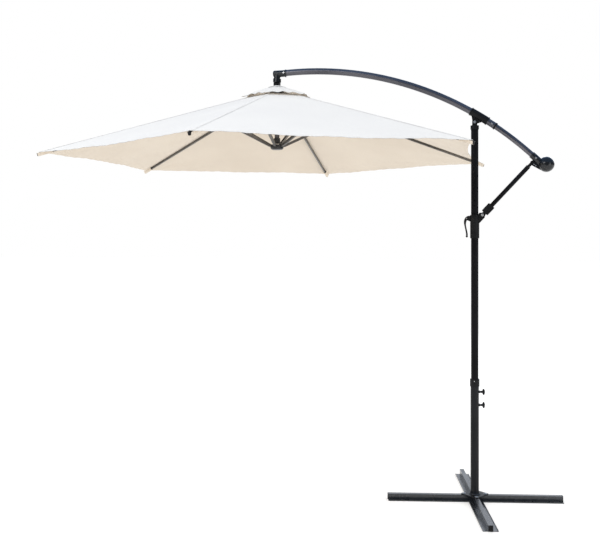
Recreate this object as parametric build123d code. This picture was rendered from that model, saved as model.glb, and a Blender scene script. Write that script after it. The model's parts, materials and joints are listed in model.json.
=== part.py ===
"""Cantilever parasol: cross base, swivelling mast, curved arm with strut and crank, hanging hexagonal canopy.

Millimetres. +Z is up and the mast's axis is Z. The origin is on the floor under the middle of the cross base.
The arm lies in the XZ plane and reaches towards -X, so the canopy hangs at -X and the crank housing is at +X.
"""
from build123d import *
from math import acos, atan2, cos, degrees, hypot, radians, sin, sqrt, tan
import os

# Cross base
BASE_SPAN = 1000
BASE_YAW = 11.8
BAR_BOX_W = 25
BAR_BOX_H = 33
BAR_WALL = 2
FLANGE_W = 82
FLANGE_LIP = 6
LAP_GAP = 0.2
PLUG_DEPTH = 18
PLATE_SIDE = 115
PLATE_T = 5
PLATE_BOLT_R = 62
BOLT_D = 8

# Mast
LOWER_R = 24
LOWER_TOP = 675
TUBE_WALL = 1.5
UPPER_R = 21
UPPER_BOTTOM = 350
UPPER_TOP = 2165
COLLAR_R = 27.2
COLLAR_BOTTOM = 660
COLLAR_TOP = 703
COLLAR_SCREW_Z = 692
SCREW_HEIGHTS = (551, 627)
HOLE_ROW = (1660, 1707, 1735)
PIVOT_PIN_R = 5
SLIDE_GAP = 0.3
FIT_GAP = 0.05

# Slider, trigger and strut
SLIDER_BOTTOM = 1517
SLIDER_TOP = 1653
SLIDER_R = 26
LINER_LEN = 28
STRUT_FOOT = (44.5, 1651)
STRUT_TOP = (320.5, 1949)
STRUT_R = 12.5
LEVER_PIVOT = (-46, 1632)
LOCK_PIN_Z = 1641
LOCK_HOLE_R = 6
HEAD_PIN_Z = 2189
LEVER_PIN_R = 2.45

# Arm: one circular arc in the XZ plane
ARC_X = -1031.4
ARC_Z = 577.6
ARC_R = 1956.6
FRONT_R = 19
REAR_R = 16
FRONT_START = -1163
FRONT_END = 112
REAR_START = 60
REAR_END = 356
SADDLE_START = -22
SADDLE_END = 74
SADDLE_R = 22.5
COUPLER_BOLT_X = FRONT_END - 14
ELBOW_BOLT_X = -1146
SOCKET_BOLT_X = 340
ARM_BOLT_R = 3

# Crank housing
BALL = (398, 1937)
BALL_R = 44
SHELL = 3
SOCKET_R = 20
SPOOL_R = 24
CRANK_REACH = 92
CRANK_FOLD_Y = 72
SHELL_SCREWS = ((340, 1930), (330, 1938))

# Hanger, pole and canopy
HUB_X = -1193
ELBOW_Z = 2529
HANG_Z = 2487
ELBOW_R = 20.5
KNUCKLE_R = 24.5
POLE_SCREW_Z = 2446
HINGE_PIN_R = 2
POLE_R = 15
POLE_BOTTOM = 2134
RIB_PIVOT_R = 34
RIB_PIVOT_Z = 2410
RIB_SLOPE = 16.8
RIB_REACH = 1400
RIB_W = 9
RIB_H = 14
RIVET_R = 460
RUNNER_PIVOT_R = 30
RUNNER_PIVOT_Z = 2078
STRETCHER_W = 13
STRETCHER_H = 16
CLOTH = 0.8
CLOTH_LIFT = 11.5
HEM_SCALLOP = 52
VENT_R = 225
VENT_HOLE_R = 150
VENT_LIFT = 16
VENT_SCALLOP = 12
VENT_MOUTH_R = 25
CORD_R = 1.8
CORD_DROP_IN_TUBE = 7
PULLEY_R = 10
PULLEY_Z = 2512

RIB_COUNT = 6


def rod(start, end, radius):
    """A round bar between two points."""
    start, end = Vector(*start), Vector(*end)
    along = end - start
    place = Plane(origin=start, z_dir=along).location
    low = (Align.CENTER, Align.CENTER, Align.MIN)
    return place * Cylinder(radius, along.length, align=low)


def pipe(start, end, outer, inner):
    """A round tube between two points."""
    start, end = Vector(*start), Vector(*end)
    along = (end - start).normalized()
    return rod(start, end, outer) - rod(start - along, end + along, inner)


def block(low, high):
    """A box between two corners."""
    size = [high[i] - low[i] for i in range(3)]
    place = Pos(*[(high[i] + low[i]) / 2 for i in range(3)])
    return place * Box(*size)


def cross_rod(x, z, y_low, y_high, radius):
    """A round bar along Y."""
    return rod((x, y_low, z), (x, y_high, z), radius)


def side_plate(points, y_low, y_high):
    """A flat plate with a straight-edged outline in XZ, between two Y values."""
    face = make_face(Polyline(*[(x, y_low, z) for x, z in points], close=True))
    plate = extrude(face, amount=y_high - y_low, dir=(0, 1, 0))
    return plate


def arc_point(x):
    """The arm's centre line at a given X."""
    return (x, 0, ARC_Z + sqrt(ARC_R**2 - (x - ARC_X) ** 2))


def arc_rod(x_start, x_end, radius, inset=0):
    """A round bar along the arm's arc between two X values, or along a smaller arc inside it."""
    start, end = arc_point(x_start), arc_point(x_end)
    radial = Vector(start[0] - ARC_X, 0, start[2] - ARC_Z)
    tangent = Vector(radial.Z, 0, -radial.X)
    swing = degrees(atan2(end[0] - ARC_X, end[2] - ARC_Z) - atan2(radial.X, radial.Z))
    centre = Vector(*start) - radial.normalized() * inset
    face = Plane(origin=centre, x_dir=radial, z_dir=tangent) * Circle(radius)
    axis = Axis((ARC_X, 0, ARC_Z), (0, 1, 0))
    return revolve(face, axis=axis, revolution_arc=swing)


def arc_pipe(x_start, x_end, outer, inner):
    """A round tube along the arm's arc."""
    return arc_rod(x_start, x_end, outer) - arc_rod(x_start - 2, x_end + 2, inner)


def arc_bolt_hole(x):
    """A bolt hole along Y through the arm."""
    return cross_rod(x, arc_point(x)[2], -40, 40, ARM_BOLT_R + 0.1)


def arc_bolt(x, reach):
    """A bolt along Y through the arm with a round head on each side, reach away from the middle."""
    z = arc_point(x)[2]
    bolt = cross_rod(x, z, -reach - 2, reach + 2, ARM_BOLT_R)
    for side in (-1, 1):
        low, high = sorted((side * (reach + 0.05), side * (reach + 3.5)))
        bolt += cross_rod(x, z, low, high, 5.5)
    return bolt


def around_mast(shape, yaw):
    return Rot(0, 0, yaw) * shape


def about_hub(shape, index):
    """Moves a shape made at the +X side of a hub on the Z axis to its place round the canopy's hub."""
    return Pos(HUB_X, 0, 0) * Rot(0, 0, 30 + 60 * index) * shape


# ---------------------------------------------------------------- cross base

def bar_section_solid():
    """One full bar along X: a closed box on a wide flange with small upturned lips."""
    half = BASE_SPAN / 2
    flange = block((-half, -FLANGE_W / 2, 0), (half, FLANGE_W / 2, BAR_WALL))
    bar = flange + block((-half, -BAR_BOX_W / 2, 0), (half, BAR_BOX_W / 2, BAR_BOX_H))
    inner = BAR_BOX_W / 2 - BAR_WALL
    bar -= block((-half - 1, -inner, BAR_WALL), (half + 1, inner, BAR_BOX_H - BAR_WALL))
    for side in (-1, 1):
        edges = sorted((side * FLANGE_W / 2, side * (FLANGE_W / 2 - BAR_WALL)))
        bar += block((-half, edges[0], 0), (half, edges[1], FLANGE_LIP))
    return bar


def plate_bolt_places():
    """The four bolts stand over the bars, under the plate's corners."""
    return [(PLATE_BOLT_R, 0), (0, PLATE_BOLT_R), (-PLATE_BOLT_R, 0), (0, -PLATE_BOLT_R)]


def drill_bolts(shape, low, high):
    for x, y in plate_bolt_places():
        shape -= rod((x, y, low), (x, y, high), BOLT_D / 2 + 0.2)
    return shape


def base_bar_lower():
    """The bar that keeps its flange through the crossing; its box is notched from above."""
    notch = BAR_BOX_W / 2 + LAP_GAP
    bar = bar_section_solid()
    bar -= block((-notch, -BAR_BOX_W, BAR_BOX_H / 2), (notch, BAR_BOX_W, BAR_BOX_H + 1))
    bar -= block((-notch, -FLANGE_W, BAR_WALL), (notch, -FLANGE_W / 4, FLANGE_LIP + 1))
    bar -= block((-notch, FLANGE_W / 4, BAR_WALL), (notch, FLANGE_W, FLANGE_LIP + 1))
    return drill_bolts(bar, BAR_BOX_H / 2, BAR_BOX_H + 1)


def base_bar_upper():
    """The bar that crosses on top; its flange and the lower half of its box stop at the other bar."""
    notch = BAR_BOX_W / 2 + LAP_GAP
    flange = FLANGE_W / 2 + LAP_GAP
    bar = Rot(0, 0, 90) * bar_section_solid()
    bar -= block((-FLANGE_W, -notch, -1), (FLANGE_W, notch, BAR_BOX_H / 2 + LAP_GAP))
    bar -= block((-FLANGE_W, -flange, -1), (FLANGE_W, flange, BAR_WALL + LAP_GAP))
    for side in (-1, 1):
        lip = sorted((side * BAR_BOX_W, side * FLANGE_W))
        bar -= block((lip[0], -flange, -1), (lip[1], flange, FLANGE_LIP + 1))
    return drill_bolts(bar, BAR_BOX_H / 2, BAR_BOX_H + 1)


def bar_end_plugs():
    """Four push-in plugs, each with a thin rim that covers the end of the box."""
    inner_y = BAR_BOX_W / 2 - BAR_WALL - FIT_GAP
    low, high = BAR_WALL + FIT_GAP, BAR_BOX_H - BAR_WALL - FIT_GAP
    half = BASE_SPAN / 2
    plug = block((half - PLUG_DEPTH, -inner_y, low), (half + 1, inner_y, high))
    rim = block((half + 0.02, -BAR_BOX_W / 2, 0.5), (half + 3, BAR_BOX_W / 2, BAR_BOX_H))
    return [Rot(0, 0, 90 * i) * (plug + rim) for i in range(4)]


def base_bolts():
    bolts = []
    for x, y in plate_bolt_places():
        top = BAR_BOX_H + PLATE_T
        bolt = rod((x, y, BAR_BOX_H / 2 + 2), (x, y, top + 1), BOLT_D / 2)
        head = Pos(x, y, top) * Cylinder(8, 4.5, align=(Align.CENTER, Align.CENTER, Align.MIN))
        bolts.append(bolt + fillet(head.edges().sort_by(Axis.Z)[-1], 3))
    return bolts


def base_nuts():
    nuts = []
    for x, y in plate_bolt_places():
        blank = extrude(RegularPolygon(6.5, 6, major_radius=False), amount=6.5)
        nut = Pos(x, y, BAR_BOX_H - BAR_WALL - 6.6) * blank
        nuts.append(nut - rod((x, y, 0), (x, y, 60), BOLT_D / 2 + FIT_GAP))
    return nuts


# ---------------------------------------------------------------- lower mast

def lower_mast():
    """Square foot plate, tube, weld ring and the two screw bosses: one welded piece."""
    plate_top = BAR_BOX_H + PLATE_T
    plate = block((-PLATE_SIDE / 2, -PLATE_SIDE / 2, BAR_BOX_H), (PLATE_SIDE / 2, PLATE_SIDE / 2, plate_top))
    plate = fillet(plate.edges().filter_by(Axis.Z), 8)
    mast = Rot(0, 0, 45) * plate
    mast = drill_bolts(mast, 0, 60)
    mast += rod((0, 0, plate_top - 1), (0, 0, LOWER_TOP), LOWER_R)
    weld = Pos(0, 0, plate_top + 8) * Cone(LOWER_R + 7, LOWER_R + 0.1, 18)
    mast += weld
    for height in SCREW_HEIGHTS:
        mast += rod((LOWER_R - 2, 0, height), (LOWER_R + 7, 0, height), 8)
    mast -= rod((0, 0, BAR_BOX_H - 1), (0, 0, LOWER_TOP + 1), LOWER_R - TUBE_WALL)
    for height in SCREW_HEIGHTS:
        mast -= rod((10, 0, height), (LOWER_R + 9, 0, height), 4.05)
    return mast


def swivel_seat():
    """A cup pressed into the lower tube; the upper tube's foot turns on it."""
    seat = rod((0, 0, UPPER_BOTTOM - 40), (0, 0, UPPER_BOTTOM - 6), LOWER_R - TUBE_WALL - 0.02)
    return seat - rod((0, 0, UPPER_BOTTOM - 41), (0, 0, UPPER_BOTTOM - 12), 12)


def mast_foot():
    """The plug that closes the bottom of the upper tube."""
    foot = rod((0, 0, UPPER_BOTTOM - 5.7), (0, 0, UPPER_BOTTOM), UPPER_R)
    return foot + rod((0, 0, UPPER_BOTTOM - 1), (0, 0, UPPER_BOTTOM + 22), UPPER_R - TUBE_WALL - 0.02)


def mast_bushing():
    """A sleeve that guides the upper tube in the mouth of the lower tube."""
    sleeve = pipe((0, 0, 500), (0, 0, LOWER_TOP), LOWER_R - TUBE_WALL - 0.02, UPPER_R + FIT_GAP)
    for height in SCREW_HEIGHTS:
        sleeve -= rod((0, 0, height), (30, 0, height), 4.5)
    return sleeve


def mast_collar():
    """The cover over the joint of the two tubes."""
    collar = rod((0, 0, COLLAR_BOTTOM), (0, 0, COLLAR_TOP), COLLAR_R)
    collar = fillet(collar.edges().filter_by(GeomType.CIRCLE).sort_by(Axis.Z)[-1], 4)
    collar -= rod((0, 0, COLLAR_BOTTOM - 1), (0, 0, LOWER_TOP + 0.05), LOWER_R + FIT_GAP)
    collar -= rod((0, 0, COLLAR_BOTTOM), (0, 0, COLLAR_TOP + 1), UPPER_R + FIT_GAP)
    return collar - cross_rod(0, COLLAR_SCREW_Z, -40, 0, 2.6)


def collar_screw():
    screw = cross_rod(0, COLLAR_SCREW_Z, -COLLAR_R, -UPPER_R - 0.4, 2.5)
    return screw + cross_rod(0, COLLAR_SCREW_Z, -COLLAR_R - 2, -COLLAR_R + 0.4, 2.5)


def hand_screw(height):
    """A wing screw: threaded shank, round neck and two rounded wings."""
    screw = rod((UPPER_R + 0.4, 0, height), (LOWER_R + 19, 0, height), 4)
    screw += rod((LOWER_R + 10, 0, height), (LOWER_R + 24, 0, height), 6.5)
    wings = Pos(LOWER_R + 27, 0, height) * Rot(90, 0, 0) * extrude(Ellipse(7.5, 18), amount=2.5, both=True)
    return screw + wings


# ---------------------------------------------------------------- upper mast

def upper_mast():
    tube = pipe((0, 0, UPPER_BOTTOM), (0, 0, UPPER_TOP), UPPER_R, UPPER_R - TUBE_WALL)
    for z in HOLE_ROW:
        tube -= rod((-30, 0, z), (30, 0, z), 4)
    for z in HOLE_ROW:
        tube -= cross_rod(0, z, -30, -5, 3)
    return tube - rod((-30, 0, LOCK_PIN_Z), (0, 0, LOCK_PIN_Z), 4)


def mast_head():
    """The cap on the mast's top with two ears that carry the arm's pin."""
    cap = rod((0, 0, 2148), (0, 0, 2170), UPPER_R + 3)
    cap -= rod((0, 0, 2140), (0, 0, UPPER_TOP + 0.05), UPPER_R + FIT_GAP)
    for side in (-1, 1):
        low, high = sorted((side * 6.6, side * 12))
        ear = cross_rod(0, HEAD_PIN_Z, low, high, 14) + block((-14, low, 2169), (14, high, HEAD_PIN_Z))
        cap += ear
    return cap - cross_rod(0, HEAD_PIN_Z, -20, 20, PIVOT_PIN_R + FIT_GAP)


def head_pin():
    pin = cross_rod(0, HEAD_PIN_Z, -15, 15, PIVOT_PIN_R)
    for side in (-1, 1):
        low, high = sorted((side * 12.3, side * 16.5))
        pin += cross_rod(0, HEAD_PIN_Z, low, high, 8)
    return pin


# ---------------------------------------------------------------- slider and trigger

def slider_body():
    """Sleeve with a fork at the upper right that carries the strut, and two lugs for the trigger."""
    body = rod((0, 0, SLIDER_BOTTOM), (0, 0, SLIDER_TOP), SLIDER_R)
    x, z = STRUT_FOOT
    arm = side_plate([(16, 1594), (26, 1604), (57, 1638), (46, 1665), (28, 1665), (16, 1652)], -14, 14)
    body += arm + cross_rod(x, z, -14, 14, 15)
    body -= block((SLIDER_R + 1, -8.8, 1500), (90, 8.8, 1700))
    px, pz = LEVER_PIVOT
    for side in (-1, 1):
        low, high = sorted((side * 5.4, side * 9))
        body += side_plate([(-20, 1612), (-52, 1625), (-52, 1638), (-20, 1651)], low, high)
    body -= rod((0, 0, SLIDER_BOTTOM - 1), (0, 0, SLIDER_TOP + 20), UPPER_R + 1.6)
    body -= cross_rod(px, pz, -20, 20, LEVER_PIN_R + FIT_GAP)
    body -= rod((-60, 0, LOCK_PIN_Z), (-5, 0, LOCK_PIN_Z), LOCK_HOLE_R)
    return body - cross_rod(x, z, -20, 20, PIVOT_PIN_R + FIT_GAP)


def slider_liners():
    liners = []
    for low in (SLIDER_BOTTOM, SLIDER_TOP - LINER_LEN):
        ring = pipe((0, 0, low), (0, 0, low + LINER_LEN), UPPER_R + 1.55, UPPER_R + SLIDE_GAP)
        ring -= rod((-60, 0, LOCK_PIN_Z), (-5, 0, LOCK_PIN_Z), LOCK_HOLE_R)
        liners.append(ring)
    return liners


def trigger_lever():
    """A hooked finger lever with a small ball at its free end."""
    outer = [(-32, 1648), (-50, 1640), (-61, 1617), (-58, 1588), (-52, 1560), (-49, 1530)]
    inner = [(-40, 1530), (-43, 1560), (-49, 1588), (-49, 1608), (-42, 1625), (-32, 1636)]
    sides = [Spline(*[(x, 0, z) for x, z in points]) for points in (outer, inner)]
    ends = [Line(sides[0] @ 1, sides[1] @ 0), Line(sides[1] @ 1, sides[0] @ 0)]
    face = make_face(sides + ends)
    lever = extrude(face, amount=5, dir=(0, 1, 0), both=True)
    lever += Pos(-45, 0, 1528) * Sphere(6.5)
    px, pz = LEVER_PIVOT
    return lever - cross_rod(px, pz, -20, 20, LEVER_PIN_R + FIT_GAP)


def lever_pin():
    px, pz = LEVER_PIVOT
    return cross_rod(px, pz, -10, 10, LEVER_PIN_R)


def lock_pin():
    """The pin that the trigger draws back; it is held short of the mast wall."""
    return rod((-31.9, 0, LOCK_PIN_Z), (-UPPER_R - 0.5, 0, LOCK_PIN_Z), 3)


def lever_spring():
    """A torsion spring on the lever's pin, drawn as close-wound rings."""
    px, pz = LEVER_PIVOT
    rings = []
    for side in (-1, 1):
        for turn in range(3):
            centre = Pos(px, side * (10.6 + 1.1 * turn), pz)
            rings.append(centre * Rot(90, 0, 0) * Torus(3.4, 0.5))
    return rings


def foot_bolt():
    x, z = STRUT_FOOT
    bolt = cross_rod(x, z, -17, 17, PIVOT_PIN_R)
    for side in (-1, 1):
        low, high = sorted((side * 14.2, side * 19))
        bolt += cross_rod(x, z, low, high, 8)
    return bolt


# ---------------------------------------------------------------- strut, made along +X and turned into place

def strut_place():
    rise = degrees(atan2(STRUT_TOP[1] - STRUT_FOOT[1], STRUT_TOP[0] - STRUT_FOOT[0]))
    return Pos(STRUT_FOOT[0], 0, STRUT_FOOT[1]) * Rot(0, -rise, 0)


def strut_length():
    return hypot(STRUT_TOP[0] - STRUT_FOOT[0], STRUT_TOP[1] - STRUT_FOOT[1])


def strut_foot():
    """The moulded block between the slider's fork and the strut tube."""
    eye = cross_rod(0, 0, -8.5, 8.5, 13) + block((0, -8.5, -11), (26, 8.5, 11))
    body = block((17, -15, -21.5), (76, 15, 21.5))
    body = chamfer(body.edges().filter_by(Axis.Y), 3)
    foot = eye + body
    foot -= rod((40, 0, 0), (120, 0, 0), STRUT_R + 0.02)
    foot -= cross_rod(0, 0, -20, 20, PIVOT_PIN_R + FIT_GAP)
    return strut_place() * foot


def strut_tube():
    tube = pipe((40.3, 0, 0), (366, 0, 0), STRUT_R, STRUT_R - TUBE_WALL)
    return strut_place() * tube


def strut_head():
    """The plugged-in fork at the top of the strut; its cheeks carry the pivot's two round heads."""
    end = strut_length()
    root = end - 29
    head = rod((338, 0, 0), (366.5, 0, 0), STRUT_R - TUBE_WALL - 0.02)
    head += rod((366.05, 0, 0), (root, 0, 0), STRUT_R)
    for side in (-1, 1):
        low, high = sorted((side * 6.5, side * 11))
        head += block((root - 6, low, -8), (end, high, 8)) + cross_rod(end, 0, low, high, 8)
        knob = sorted((side * 10.5, side * 14))
        head += cross_rod(end, 0, knob[0], knob[1], 6)
    return strut_place() * head


# ---------------------------------------------------------------- arm

def arm_tube_front():
    tube = arc_pipe(FRONT_START, FRONT_END, FRONT_R, FRONT_R - TUBE_WALL)
    return tube - arc_bolt_hole(COUPLER_BOLT_X) - arc_bolt_hole(ELBOW_BOLT_X)


def arm_tube_rear():
    tube = arc_pipe(REAR_START, REAR_END, REAR_R, REAR_R - TUBE_WALL)
    return tube - arc_bolt_hole(COUPLER_BOLT_X) - arc_bolt_hole(SOCKET_BOLT_X)


def arm_coupler():
    """The reducing bush between the two tubes, with a lip that covers the front tube's end."""
    bush = arc_rod(REAR_START + 4, FRONT_END + 0.1, FRONT_R - TUBE_WALL - 0.03)
    bush += arc_rod(FRONT_END + 0.05, FRONT_END + 7, FRONT_R + 1.5)
    bush -= arc_rod(REAR_START, FRONT_END + 9, REAR_R + 0.03)
    return bush - arc_bolt_hole(COUPLER_BOLT_X)


def saddle():
    """Sleeve round the arm with flared rims and a web down to the mast head's pin."""
    sleeve = arc_rod(SADDLE_START, SADDLE_END, SADDLE_R)
    sleeve += arc_rod(SADDLE_START, SADDLE_START + 4, SADDLE_R + 2)
    sleeve += arc_rod(SADDLE_END - 4, SADDLE_END, SADDLE_R + 2)
    web = side_plate([(-20, 2240), (-12, 2189), (8, 2180), (48, 2192), (40, 2205)], -6, 6)
    web += cross_rod(0, HEAD_PIN_Z, -6, 6, 12)
    sleeve += web
    sleeve -= arc_rod(SADDLE_START - 3, SADDLE_END + 3, FRONT_R + 0.03)
    return sleeve - cross_rod(0, HEAD_PIN_Z, -20, 20, PIVOT_PIN_R + FIT_GAP)


def arm_bolts():
    """Three cross bolts: at the coupler, at the elbow and at the crank housing's socket."""
    places = ((COUPLER_BOLT_X, FRONT_R), (ELBOW_BOLT_X, ELBOW_R), (SOCKET_BOLT_X, SOCKET_R))
    return [arc_bolt(x, reach) for x, reach in places]


# ---------------------------------------------------------------- crank housing

def housing_solid():
    """Both halves as one hollow piece: ball, socket for the rear tube and the strut's lug."""
    bx, bz = BALL
    shell = Pos(bx, 0, bz) * Sphere(BALL_R) + arc_rod(318, 380, SOCKET_R)
    lug = side_plate([(312, 1957), (316, 1934), (366, 1905), (390, 1950), (350, 1972)], -6, 6)
    shell += lug + cross_rod(STRUT_TOP[0], STRUT_TOP[1], -6, 6, 11)
    shell += cross_rod(bx, bz, 40, 50, 13)
    shell -= Pos(bx, 0, bz) * Sphere(BALL_R - SHELL)
    shell -= arc_rod(310, REAR_END + 4, REAR_R + 0.03)
    shell -= arc_bolt_hole(SOCKET_BOLT_X)
    shell -= cross_rod(bx, bz, -60, -BALL_R + 1.2, 15)
    shell -= cross_rod(bx, bz, 0, 60, PIVOT_PIN_R + FIT_GAP)
    inner_boss = cross_rod(bx, bz, -BALL_R + 2, -26, 9) - cross_rod(bx, bz, -36, -20, PIVOT_PIN_R + FIT_GAP)
    shell += inner_boss
    for x, z in SHELL_SCREWS:
        shell -= cross_rod(x, z, -20, 20, 1.8)
    return shell


def crank_housing_near():
    return split(housing_solid(), bisect_by=Plane.XZ, keep=Keep.TOP)


def crank_housing_far():
    return split(housing_solid(), bisect_by=Plane.XZ, keep=Keep.BOTTOM)


def housing_screws():
    screws = []
    for x, z in SHELL_SCREWS:
        screws.append(cross_rod(x, z, -6, 5, 1.75) + cross_rod(x, z, -8, -6.05, 3.2))
    return screws


def spool():
    """Drum and two flanges, keyed to the crank's shaft."""
    bx, bz = BALL
    drum = cross_rod(bx, bz, -17, 17, SPOOL_R - CORD_R - 0.1)
    for y in (-17, 14):
        drum += cross_rod(bx, bz, y, y + 3, 31)
    return drum - cross_rod(bx, bz, -20, 20, PIVOT_PIN_R)


def crank_shaft():
    """The shaft, with a fork outside the housing that holds the folding arm."""
    bx, bz = BALL
    shaft = cross_rod(bx, bz, -34, 62, PIVOT_PIN_R)
    shaft += cross_rod(bx, bz, 50.5, 60, 11)
    for side in (-1, 1):
        low, high = sorted((side * 5.3, side * 9))
        shaft += block((bx + low, 59, bz - 8), (bx + high, CRANK_FOLD_Y, bz + 8))
        shaft += rod((bx + low, CRANK_FOLD_Y, bz), (bx + high, CRANK_FOLD_Y, bz), 8)
    return shaft + rod((bx - 8, CRANK_FOLD_Y, bz), (bx + 8, CRANK_FOLD_Y, bz), 2.5)


def brake_ring():
    """The friction ring round the shaft inside the far half of the housing."""
    bx, bz = BALL
    return cross_rod(bx, bz, 22, 30, 12) - cross_rod(bx, bz, 20, 40, PIVOT_PIN_R + FIT_GAP)


def crank_arm():
    """The folding arm, stored straight out along the shaft."""
    bx, bz = BALL
    end = CRANK_FOLD_Y + CRANK_REACH
    arm = rod((bx - 5, CRANK_FOLD_Y, bz), (bx + 5, CRANK_FOLD_Y, bz), 7.5)
    arm += block((bx - 5, CRANK_FOLD_Y, bz - 6.5), (bx + 5, end, bz + 6.5))
    arm += rod((bx, end, bz - 6.5), (bx, end, bz + 6.5), 8)
    arm += rod((bx, end, bz), (bx, end, bz + 44), 3)
    arm += rod((bx, end, bz + 42), (bx, end, bz + 44), 5)
    return arm - rod((bx - 20, CRANK_FOLD_Y, bz), (bx + 20, CRANK_FOLD_Y, bz), 2.55)


def crank_knob():
    """The turning grip on the arm's spindle."""
    bx, bz = BALL
    y = CRANK_FOLD_Y + CRANK_REACH
    grip = rod((bx, y, bz + 7), (bx, y, bz + 41.5), 10)
    grip = fillet(grip.edges().filter_by(GeomType.CIRCLE), 3)
    return grip - rod((bx, y, bz), (bx, y, bz + 60), 3 + FIT_GAP)


# ---------------------------------------------------------------- elbow and hanger

def elbow():
    """Level socket for the arm's front end, turning down into a slotted knuckle."""
    body = rod((HUB_X - 23, 0, ELBOW_Z), (-1135, 0, ELBOW_Z), ELBOW_R)
    body = fillet(body.edges().sort_by(Axis.X)[0], 8)
    body += rod((-1140, 0, ELBOW_Z), (-1132, 0, ELBOW_Z), 23.5)
    body += rod((HUB_X, 0, HANG_Z + 11), (HUB_X, 0, ELBOW_Z + 14), 19.5)
    body += rod((HUB_X, 0, HANG_Z - 11), (HUB_X, 0, HANG_Z + 12), KNUCKLE_R)
    body -= arc_rod(FRONT_START - 0.5, -1100, FRONT_R + 0.03)
    body -= rod((HUB_X - 10, 0, ELBOW_Z), (-1150, 0, ELBOW_Z), 12.5)
    body -= block((HUB_X - 30, -9.8, HANG_Z - 20), (HUB_X + 30, 9.8, HANG_Z + 12.5))
    body -= rod((HUB_X, 0, HANG_Z), (HUB_X, 0, ELBOW_Z), 6)
    body -= cross_rod(HUB_X + PULLEY_R, PULLEY_Z, -5, 5, PULLEY_R + 3.5)
    body -= cross_rod(HUB_X + PULLEY_R, PULLEY_Z, -16, 16, 2)
    body -= arc_bolt_hole(ELBOW_BOLT_X)
    for side in (-1, 1):
        low, high = sorted((side * 9.7, side * 13.5))
        body += cross_rod(HUB_X, HANG_Z, low, high, 5)
        stub = sorted((side * 5, side * 10))
        body += cross_rod(HUB_X, HANG_Z, stub[0], stub[1], 4)
    return body


def cord_pulley():
    """The grooved wheel inside the elbow, on its own axle pin."""
    x, z = HUB_X + PULLEY_R, PULLEY_Z
    wheel = cross_rod(x, z, -4, 4, PULLEY_R + 1.2)
    wheel -= Pos(x, 0, z) * Rot(90, 0, 0) * Torus(PULLEY_R + 0.4, CORD_R + 0.5)
    return wheel - cross_rod(x, z, -10, 10, 2.05)


def pulley_pin():
    return cross_rod(HUB_X + PULLEY_R, PULLEY_Z, -15, 15, 1.98)


def hanger_block():
    """The tongue in the elbow's knuckle, its wide shoulders and the round socket that holds the pole."""
    tongue = cross_rod(HUB_X, HANG_Z, -9.5, 9.5, 10)
    tongue += block((HUB_X - 10, -9.5, 2455), (HUB_X + 10, 9.5, HANG_Z))
    tongue += block((HUB_X - 20, -9.5, 2452), (HUB_X + 20, 9.5, HANG_Z - 12))
    socket = rod((HUB_X, 0, 2436), (HUB_X, 0, 2466), 19)
    socket = chamfer(socket.edges().filter_by(GeomType.CIRCLE).sort_by(Axis.Z)[-1], 5)
    body = tongue + socket
    body -= rod((HUB_X, 0, 2430), (HUB_X, 0, 2520), 4.5)
    body -= rod((HUB_X, 0, 2430), (HUB_X, 0, 2454), POLE_R + 0.02)
    low, high = HANG_Z - 2, HANG_Z + 12
    flare = [(HUB_X - 4.5, low), (HUB_X - 9, high), (HUB_X + 9, high), (HUB_X + 4.5, low)]
    body -= side_plate(flare, -3, 3)
    for side in (-1, 1):
        low, high = sorted((side * 4.6, side * 12))
        body -= cross_rod(HUB_X, HANG_Z, low, high, 4.05)
    return body - cross_rod(HUB_X, POLE_SCREW_Z, -30, 30, 2.6)


def hanger_screws():
    """Two short screws that hold the pole in its socket and leave its middle free for the cord."""
    screws = []
    for side in (-1, 1):
        shank = sorted((side * 12.8, side * 20))
        head = sorted((side * 19.05, side * 22))
        screw = cross_rod(HUB_X, POLE_SCREW_Z, shank[0], shank[1], 2.5)
        screws.append(screw + cross_rod(HUB_X, POLE_SCREW_Z, head[0], head[1], 4.5))
    return screws


def canopy_pole():
    pole = pipe((HUB_X, 0, POLE_BOTTOM), (HUB_X, 0, 2453.5), POLE_R, POLE_R - TUBE_WALL)
    return pole - cross_rod(HUB_X, POLE_SCREW_Z, -30, 30, 2.6)


def pole_nose():
    """The rounded end piece of the pole; the cord runs out through it."""
    nose = rod((HUB_X, 0, 2098.5), (HUB_X, 0, POLE_BOTTOM), 20)
    nose = fillet(nose.edges().filter_by(GeomType.CIRCLE), 7)
    nose += rod((HUB_X, 0, POLE_BOTTOM - 1), (HUB_X, 0, POLE_BOTTOM + 24), POLE_R - TUBE_WALL - 0.02)
    return nose - rod((HUB_X, 0, 2080), (HUB_X, 0, 2200), 4)


def spoked_hub(hub, pivot_r, pivot_z, slot_low, slot_high):
    """Cuts six slots into a round hub and puts a hinge pin across each."""
    for i in range(RIB_COUNT):
        slot = block((pivot_r - 8, -4.2, pivot_z + slot_low), (60, 4.2, pivot_z + slot_high))
        pin = cross_rod(pivot_r, pivot_z, -5, 5, HINGE_PIN_R)
        turn = Rot(0, 0, 30 + 60 * i)
        hub -= turn * slot
        hub += turn * pin
    return hub


def top_hub():
    hub = rod((0, 0, RIB_PIVOT_Z - 12), (0, 0, RIB_PIVOT_Z + 11), 44)
    hub = fillet(hub.edges().filter_by(GeomType.CIRCLE), 3)
    hub = spoked_hub(hub, RIB_PIVOT_R, RIB_PIVOT_Z, -20, 8)
    hub -= rod((0, 0, RIB_PIVOT_Z - 20), (0, 0, RIB_PIVOT_Z + 20), POLE_R + 0.02)
    return Pos(HUB_X, 0, 0) * hub


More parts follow.
